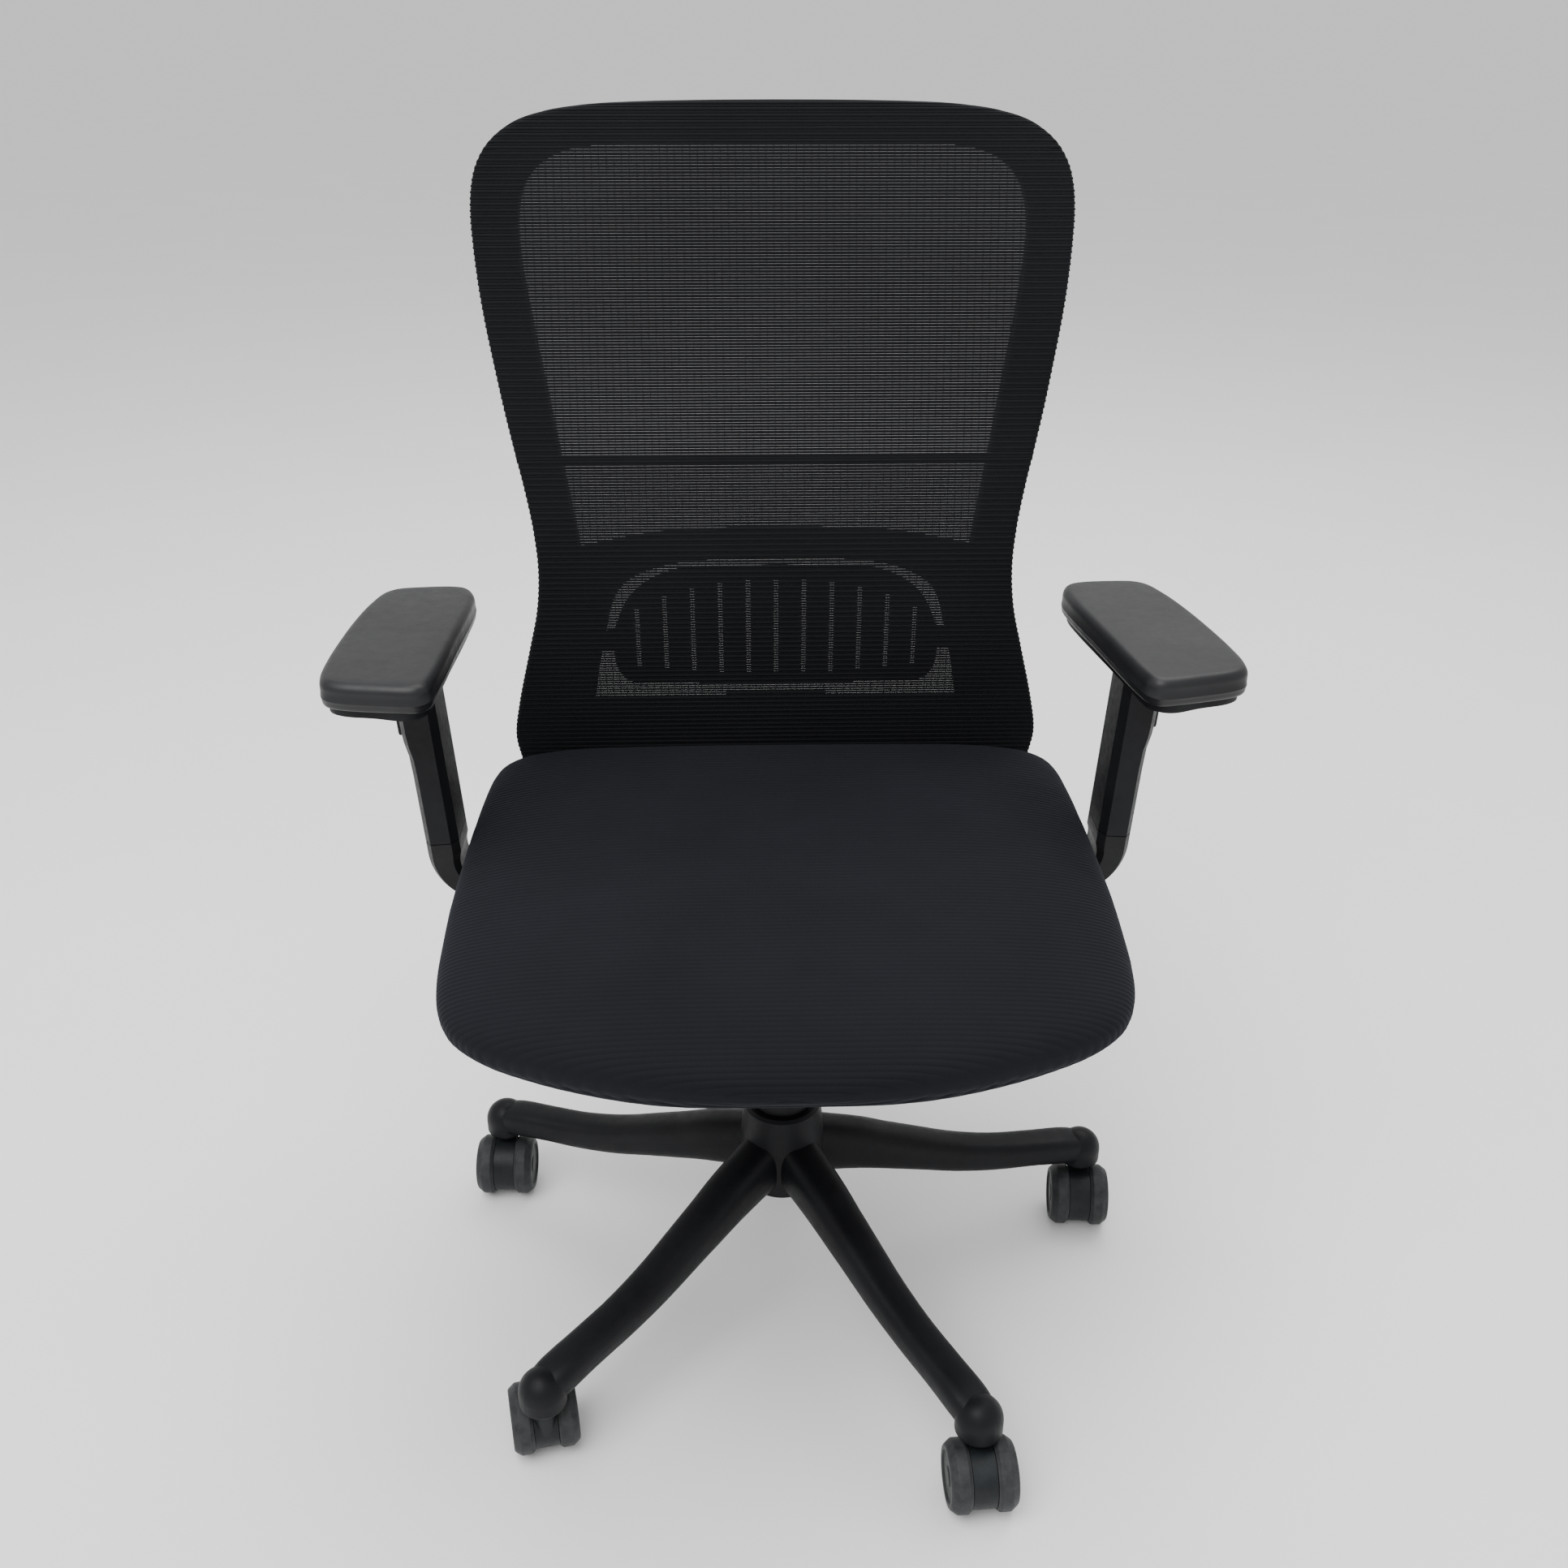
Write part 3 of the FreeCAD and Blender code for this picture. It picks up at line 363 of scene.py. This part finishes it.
def cushion_grid(row_y, row_s, cols_c, cols_s, ribs=True):
    W, Z0, Z1 = f_w(row_y)[:, None], f_z0(row_y)[:, None], f_z1(row_y)[:, None]
    zc, h = (Z0 + Z1) / 2, (Z1 - Z0) / 2
    X = W * np.sign(cols_c) * np.abs(cols_c) ** (2 / 5.0)
    up = np.sign(cols_s) * np.abs(cols_s) ** (2 / 2.6)
    Z = zc + h * up
    Y = np.repeat(row_y[:, None], len(cols_c), 1)
    # crown and a seat hollow where the sitter's weight has settled the foam
    top = np.clip(up, 0, 1)
    Z = Z + top * (1.3 * np.cos(np.clip(X / 250.0, -1, 1) * np.pi / 2) - 2.2 * np.exp(-((X / 150.0) ** 2 + ((Y - 40.0) / 120.0) ** 2)))
    Z = Z + top * 0.55 * soft_noise(X, Y, 3, 150.0)
    P = np.stack([X, Y, Z - DROP], -1)
    return P


P = cushion_grid(row_y, row_s, ca, sa)


def grid_normals(P):
    """Normals of a ring grid, pointing out."""
    du = np.gradient(P, axis=0)
    dv = np.roll(P, -1, 1) - np.roll(P, 1, 1)
    n = np.cross(du, dv)
    n /= np.linalg.norm(n, axis=-1, keepdims=True) + 1e-12
    c = P.mean(axis=(0, 1))
    if ((P - c) * n).sum() < 0:
        n = -n
    return n


# the cover under light pressure: the cushion's form, remeshed and blown up a little, then read back onto the ribbed grid
ry = np.interp(np.linspace(0, arc[-1], 120), arc, yy)
cc = cushion_grid(ry, None, ca[::2], sa[::2])
c0 = np.array([0.0, -10.0, 392.0])
small = cc + (c0 - cc) * np.array([0.004, 0.004, 0.05])
tmp = make_piece("cushion_form", small.reshape(-1, 3), tube_faces(len(ry), len(ca[::2])), M_SEAT)
outward(tmp)
bpy.context.view_layer.objects.active = tmp
rm = tmp.modifiers.new("remesh", "REMESH")
rm.mode, rm.voxel_size = "VOXEL", 0.006
dg = bpy.context.evaluated_depsgraph_get()
me = bpy.data.meshes.new_from_object(tmp.evaluated_get(dg))
start = bpy.data.objects.new("cushion_sim", me)
bpy.context.scene.collection.objects.link(start)
bpy.data.objects.remove(tmp)
co0 = np.zeros(len(me.vertices) * 3)
me.vertices.foreach_get("co", co0)
co0 = co0.reshape(-1, 3)
vg = start.vertex_groups.new(name="pin")
low = [int(i) for i in np.flatnonzero(co0[:, 2] < 0.3665)]
vg.add(low, 1.0, "REPLACE")
cl = start.modifiers.new("cover", "CLOTH")
cs = cl.settings
cs.quality = 4
cs.mass = 0.3
cs.tension_stiffness = cs.compression_stiffness = 1000
cs.shear_stiffness = 550
cs.bending_stiffness = 2.0
cs.use_pressure, cs.uniform_pressure_force = True, 4.0
cs.effector_weights.gravity = 0.0
cs.vertex_group_mass = "pin"
sc = bpy.context.scene
for fr in range(1, 21):
    sc.frame_set(fr)
dg = bpy.context.evaluated_depsgraph_get()
ev = start.evaluated_get(dg)
co1 = np.zeros(len(ev.data.vertices) * 3)
ev.data.vertices.foreach_get("co", co1)
co1 = co1.reshape(-1, 3)
d = co1 - co0
ln = np.linalg.norm(d, axis=1, keepdims=True)
co1 = co0 + d * np.minimum(1.0, 0.006 / np.maximum(ln, 1e-9))
tris = [tuple(p.vertices) for p in ev.data.polygons]
tree = BVHTree.FromPolygons([Vector(c) for c in co1], tris)
sc.frame_set(1)
bpy.data.objects.remove(start)
N = grid_normals(P)
shift = np.zeros(P.shape[:2])
step = 6
rows_i = list(range(0, P.shape[0], step))
for i in rows_i:
    for j in range(P.shape[1]):
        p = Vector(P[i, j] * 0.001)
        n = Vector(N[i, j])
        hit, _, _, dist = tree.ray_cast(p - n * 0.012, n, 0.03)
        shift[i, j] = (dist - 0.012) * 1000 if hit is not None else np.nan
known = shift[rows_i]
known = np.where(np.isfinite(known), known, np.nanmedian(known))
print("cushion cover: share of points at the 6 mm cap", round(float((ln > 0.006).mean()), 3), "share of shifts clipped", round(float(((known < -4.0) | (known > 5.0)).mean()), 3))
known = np.clip(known, -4.0, 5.0)
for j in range(P.shape[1]):
    shift[:, j] = np.interp(np.arange(P.shape[0]), rows_i, known[:, j])
for _ in range(10):
    shift = (shift + np.roll(shift, 1, 1) + np.roll(shift, -1, 1)) / 3
    shift[1:-1] = (shift[1:-1] + shift[:-2] + shift[2:]) / 3
print("cushion cover moved", round(float(shift.min()), 2), round(float(shift.max()), 2), "mm")
keep = np.clip((P[..., 2] - 366.0) / 10.0, 0, 1)      # the underside stays on its board
P = P + N * (shift * keep)[..., None]
N = grid_normals(P)
phase = (row_s / RIB) % 1.0
rib = np.sqrt(np.clip(1 - (2 * phase - 1) ** 2, 0, 1)) ** 0.8       # round ribs with narrow furrows
amount = 0.85 * rib[:, None] * np.clip((P[..., 2] - 366.0) / 8.0, 0, 1)
P = P + N * (amount - 0.70)[..., None]
n_r, n_c = P.shape[:2]
seat = make_piece("seat_cushion_cover", P.reshape(-1, 3), tube_faces(n_r, n_c), M_SEAT)
outward(seat)
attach(seat, "seat")
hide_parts("seat_cushion")

# ---------------------------------------------------------------- mesh back
BACK_Z = [395.0, 423.0, 455.0, 484.0, 520.0, 558.0, 604.5, 637.0, 670.0, 707.0, 744.0, 790.0, 837.0, 893.0, 949.0, 975.0]
BACK_Y = [220.5, 216.0, 210.5, 206.5, 202.0, 199.2, 199.2, 201.8, 206.5, 213.2, 221.0, 231.5, 243.3, 257.6, 272.0, 279.0]
OUTLINE = [(230.0, 405.0), (233.5, 429.7), (232.8, 442.0), (228.8, 462.0), (224.3, 481.0), (213.4, 522.0), (204.0, 560.0), (200.4, 596.0), (202.4, 631.0), (207.8, 665.0), (214.6, 697.5), (221.0, 729.0), (226.8, 761.0), (232.0, 791.0), (236.2, 821.0), (239.0, 852.0), (239.8, 874.0), (238.4, 892.0), (234.0, 908.0), (224.0, 923.5), (205.0, 937.5), (180.0, 945.3), (150.0, 949.6), (110.0, 951.8), (55.0, 952.9), (0.0, 953.2)]
bz = catmull(list(zip(BACK_Z, BACK_Y)), False, 24)
pv = np.concatenate([[0], np.cumsum(np.hypot(np.diff(bz[:, 0]), np.diff(bz[:, 1])))])
v_of_z = lambda z: np.interp(z, bz[:, 0], pv)
tan = np.gradient(bz, axis=0)
tan /= np.linalg.norm(tan, axis=1, keepdims=True)
half = catmull([(x, z) for x, z in OUTLINE], False, 12)
full = np.vstack([half[:-1], np.stack([-half[::-1, 0], half[::-1, 1]], 1)])
full = np.stack([full[:, 0], v_of_z(full[:, 1])], 1)            # flat pattern: across, along the curved face
full = resample(full, 900, closed=True)


def seg_nearest(q):
    """Nearest point on the closed flat outline, outward direction there and signed distance (out is positive)."""
    a, b = full, np.roll(full, -1, 0)
    ab = b - a
    L2 = (ab**2).sum(1)
    best, pt = np.full(len(q), 1e9), np.zeros_like(q)
    idx = np.zeros(len(q), int)
    for lo in range(0, len(q), 4000):
        s = q[lo:lo + 4000]
        t = np.clip(((s[:, None] - a[None]) * ab[None]).sum(2) / L2[None], 0, 1)
        p = a[None] + t[..., None] * ab[None]
        d = ((s[:, None] - p) ** 2).sum(2)
        k = d.argmin(1)
        r = np.arange(len(s))
        best[lo:lo + 4000] = np.sqrt(d[r, k])
        pt[lo:lo + 4000] = p[r, k]
        idx[lo:lo + 4000] = k
    nrm = np.stack([ab[:, 1], -ab[:, 0]], 1)
    nrm /= np.linalg.norm(nrm, axis=1, keepdims=True)
    area = 0.5 * (a[:, 0] * b[:, 1] - b[:, 0] * a[:, 1]).sum()
    if area < 0:
        nrm = -nrm
    nn = (nrm + np.roll(nrm, 1, 0) + np.roll(nrm, -1, 0)) / 3
    nn /= np.linalg.norm(nn, axis=1, keepdims=True)
    side = ((q - pt) * nrm[idx]).sum(1)
    return pt, nn[idx], np.where(side > 0, best, -best)


BEND_R, OUT = 2.2, 1.1
REAR = 12.0


def lay(q, n):
    """Flat pattern point to its place on the back: over the face, round the rim and down its side. n is height above the cloth."""
    pt, out, d = seg_nearest(q)
    start = -(BEND_R - OUT)
    past = np.clip(d - start, 0, None)
    base = np.where((past > 0)[:, None], pt + out * start, q)
    phi = np.clip(past / BEND_R, 0, np.pi / 2)
    down = np.clip(past - BEND_R * np.pi / 2, 0, None)
    tuck = np.clip((down - (REAR - 2.5)) / 2.5, 0, 1)
    y = np.interp(base[:, 1], pv, bz[:, 1])
    z = np.interp(base[:, 1], pv, bz[:, 0])
    ty, tz = np.interp(base[:, 1], pv, tan[:, 1]), np.interp(base[:, 1], pv, tan[:, 0])
    T = np.stack([np.zeros_like(ty), ty, tz], 1)
    F = np.stack([np.zeros_like(ty), -tz, ty], 1)                   # towards the sitter
    Y = np.tile([0.0, 1.0, 0.0], (len(q), 1))
    O = np.stack([out[:, 0], out[:, 1] * ty, out[:, 1] * tz], 1)
    B = np.stack([base[:, 0], y + 1.0, z - DROP], 1)
    r = BEND_R + n
    pos = B + F * 0.0 + O * (r * np.sin(phi))[:, None] - F * (BEND_R - r * np.cos(phi))[:, None] + Y * down[:, None] - O * (tuck**2 * 2.4)[:, None]
    return pos


V0, V1 = full[:, 1].min() - 15.5, full[:, 1].max() + 15.5
SECTION = [(-0.5, 0.0), (-0.28, 1.0), (0.28, 1.0), (0.5, 0.0), (0.26, -0.5), (-0.26, -0.5)]
seam_v = float(v_of_z(686.0))
k0 = round((seam_v - V0) / RIB)
V0 = seam_v - k0 * RIB
ribs_v = np.arange(V0, V1, RIB)
v_top = full[:, 1].max()
verts, faces, first = [], [], 0
margin = REAR + BEND_R * (np.pi / 2) - (BEND_R - OUT)


def row_end(v):
    """Where a row at flat height v stops, so that the cloth ends a set way past the outline."""
    xs = np.arange(0.0, 268.0, 1.0)
    _, _, d = seg_nearest(np.stack([xs, np.full_like(xs, v)], 1))
    ok = np.flatnonzero(d < margin)
    return xs[ok[-1]] if len(ok) else None


def strand(v, width, proud, xs):
    global first
    pts = [lay(np.stack([xs, np.full(len(xs), v + s * width)], 1), np.full(len(xs), hgt * proud)) for s, hgt in SECTION]
    ring = np.stack(pts, 1)
    verts.append(ring.reshape(-1, 3))
    faces.extend(tube_faces(len(xs), len(SECTION), first))
    first += ring.shape[0] * ring.shape[1]


for v in ribs_v:
    xe = row_end(v)
    if xe is None or xe < 14:
        continue
    near_edge = v > v_top - 34 or v < full[:, 1].min() + 12
    inner = np.arange(0, xe - 17, 5.0 if near_edge else 12.0)
    rim = np.arange(max(xe - 17, inner[-1] + 1.0 if len(inner) else 0), xe, 1.5)
    pos = np.unique(np.round(np.concatenate([inner, rim, [xe]]), 3))
    xs = np.concatenate([-pos[::-1], pos[pos > 0]])
    seam = abs(v - seam_v) < 0.1
    g1, g2 = (0.055, 0.035) if v < seam_v else (0.085, 0.05)
    if seam:
        g1, g2 = -0.1, -0.1
    wa, wb = 2.55 - g1, RIB - 2.55 - g2
    strand(v, wa, 1.0 if seam else 0.86, xs)
    strand(v + 1.275 + (RIB - 2.55) / 2, wb, 0.75 if seam else 0.40, xs)
# warp threads that tie the ribs together, broken where the waist of the outline leaves them no cloth
for x in np.arange(-252, 252.1, 6.0):
    vs = np.arange(V0, V1, RIB * 1.5)
    _, _, d = seg_nearest(np.stack([np.full_like(vs, x), vs], 1))
    ok = d < margin - 1.5
    runs, cur = [], []
    for q, good in zip(vs, ok):
        if good:
            cur.append(q)
        elif cur:
            runs.append(cur)
            cur = []
    if cur:
        runs.append(cur)
    for run in runs:
        if len(run) < 4:
            continue
        run = np.array(run)
        ring = np.stack([lay(np.stack([np.full_like(run, x + a), run], 1), np.full(len(run), b)) for a, b in ((-0.25, -0.1), (0.25, -0.1), (0.25, -0.55), (-0.25, -0.55))], 1)
        verts.append(ring.reshape(-1, 3))
        faces += tube_faces(len(run), 4, first)
        first += ring.shape[0] * 4
mesh = make_piece("back_mesh_cloth", np.vstack(verts), faces, M_MESH)
outward(mesh)
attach(mesh, "seat")
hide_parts("back_mesh")

# ---------------------------------------------------------------- arm pads
LOCAL = [(-13, -50.5), (-19.5, -43), (-21.5, -28), (-21.5, 60), (-21.3, 132), (-19, 152), (-12, 165), (0, 169.5), (28, 168), (48, 163.5), (58, 154), (64.5, 128), (68.0, 90), (69.0, 45), (68.2, 5), (65.6, -22), (60, -38), (50, -44.5), (20, -49.5)]
LOCAL = [(x - 10.9, y - 51.0) for x, y in LOCAL]
ARM_X, ARM_Y = 287.9, 86.0
PAD_TURN = {"left": -1.7, "right": 8.7}
for side, s in (("left", -1), ("right", 1)):
    out = resample(catmull(LOCAL, True, 10), 180)
    c = out.mean(0)
    edge = np.roll(out, -1, 0) - np.roll(out, 1, 0)
    nr = np.stack([edge[:, 1], -edge[:, 0]], 1)
    nr /= np.linalg.norm(nr, axis=1, keepdims=True)
    if ((out - c) * nr).sum() < 0:
        nr = -nr
    rings = []
    R = 7.5
    # underside, side wall with a faint parting bead, rounded shoulder, then a low crown
    prof = [(-14.0, 0.3), (-2.6, 0.3), (-1.1, 0.9), (-0.3, 2.2), (0.0, 4.2), (0.15, 6.2), (0.45, 6.7), (0.45, 7.3), (0.1, 7.8)]
    prof += [(-R * (1 - math.cos(a)), 14.6 + R * math.sin(a)) for a in np.linspace(0.0, math.pi / 2 * 0.93, 9)]
    for ins, h in prof:
        rings.append(np.column_stack([out + nr * ins, np.full(len(out), h)]))
    last = rings[-1]
    for f in (0.93, 0.84, 0.72, 0.58, 0.42, 0.26, 0.10):
        ctr = np.array([c[0], c[1]])
        long_c = np.column_stack([ctr[0] + (last[:, 0] - ctr[0]) * f, ctr[1] + (last[:, 1] - ctr[1]) * f])
        sag = 0.9 * (1 - f**2) - 0.35 * np.exp(-(((long_c[:, 1] - c[1]) / 70.0) ** 2)) * (1 - f) + 0.12 * soft_noise(long_c[:, 0], long_c[:, 1], 5 if s > 0 else 11, 60.0)
        rings.append(np.column_stack([long_c, last[:, 2] + sag]))
    G = np.stack(rings)
    n_r, n_c = G.shape[:2]
    th = math.radians(PAD_TURN["right"] if s > 0 else -PAD_TURN["left"])
    x, y, z = G[..., 0], G[..., 1], G[..., 2]
    X, Y = x * math.cos(th) - y * math.sin(th), x * math.sin(th) + y * math.cos(th)
    V = np.stack([s * (ARM_X + X), ARM_Y + Y, 561.3 - DROP + z], -1)
    pad = make_piece("arm_pad_%s" % side, V.reshape(-1, 3), tube_faces(n_r, n_c), M_PAD)
    outward(pad)
    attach(pad, "arm_%s_rest" % side)
    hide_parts("arm_%s_pad" % side)

# ---------------------------------------------------------------- floor, lights, camera
def floor_material():
    m, nt, b = new_material("pale_floor")
    co = nt.nodes.new("ShaderNodeTexCoord").outputs["Object"]
    n = add(nt, "ShaderNodeTexNoise", Scale=3.0, Detail=3.0)
    nt.links.new(co, n.inputs["Vector"])
    c = ramp(nt, n.outputs["Fac"], [(0.3, grey(0.90)), (0.7, grey(0.92))])
    nt.links.new(c.outputs["Color"], b.inputs["Base Color"])
    b.inputs["Roughness"].default_value = 0.9
    b.inputs["Specular IOR Level"].default_value = 0.1
    return m


floor = make_piece("floor", [(-400000, -400000, 0), (400000, -400000, 0), (400000, 400000, 0), (-400000, 400000, 0)], [(0, 1, 2, 3)], floor_material(), smooth=False)

world = bpy.data.worlds.new("studio")
bpy.context.scene.world = world
world.use_nodes = True
world.node_tree.nodes["Background"].inputs["Color"].default_value = (1.0, 1.0, 1.0, 1.0)
world.node_tree.nodes["Background"].inputs["Strength"].default_value = 0.90


def area_light(name, loc, target, size, power):
    l = bpy.data.lights.new(name, "AREA")
    l.shape, l.size, l.energy = "SQUARE", size, power
    o = bpy.data.objects.new(name, l)
    bpy.context.scene.collection.objects.link(o)
    o.location = loc
    o.rotation_euler = (Vector(target) - Vector(loc)).to_track_quat("-Z", "Y").to_euler()
    return o


area_light("key", (-0.9, -1.2, 3.0), (0, 0.1, 0.4), 2.4, 95)
area_light("top", (0.6, 1.1, 3.2), (0, 0.1, 0.4), 2.6, 72)

cam = bpy.data.cameras.new("camera")
cam_o = bpy.data.objects.new("camera", cam)
bpy.context.scene.collection.objects.link(cam_o)
F_PX, CX, CY = 1904.57, 966.0, 1000.0
PITCH, YAW, ROLL = 0.49103955, -0.02638417, -0.00036166
cam.sensor_fit, cam.sensor_width = "HORIZONTAL", 36.0
cam.lens = F_PX / 1932.0 * 36.0
cam.shift_x = (966.0 - CX) / 1932.0
cam.shift_y = (CY - 966.0) / 1932.0
cam.clip_end = 2000.0
Rz, Rx, Ry = Matrix.Rotation(YAW, 3, "Z"), Matrix.Rotation(-PITCH, 3, "X"), Matrix.Rotation(ROLL, 3, "Y")
R = Rz @ Rx @ Ry
right, forward, up = R.col[0], R.col[1], R.col[2]
M = Matrix((right, up, -forward)).transposed().to_4x4()
M.translation = Vector((-0.026377, -1.056923, 1.025959))
cam_o.matrix_world = M
bpy.context.scene.camera = cam_o
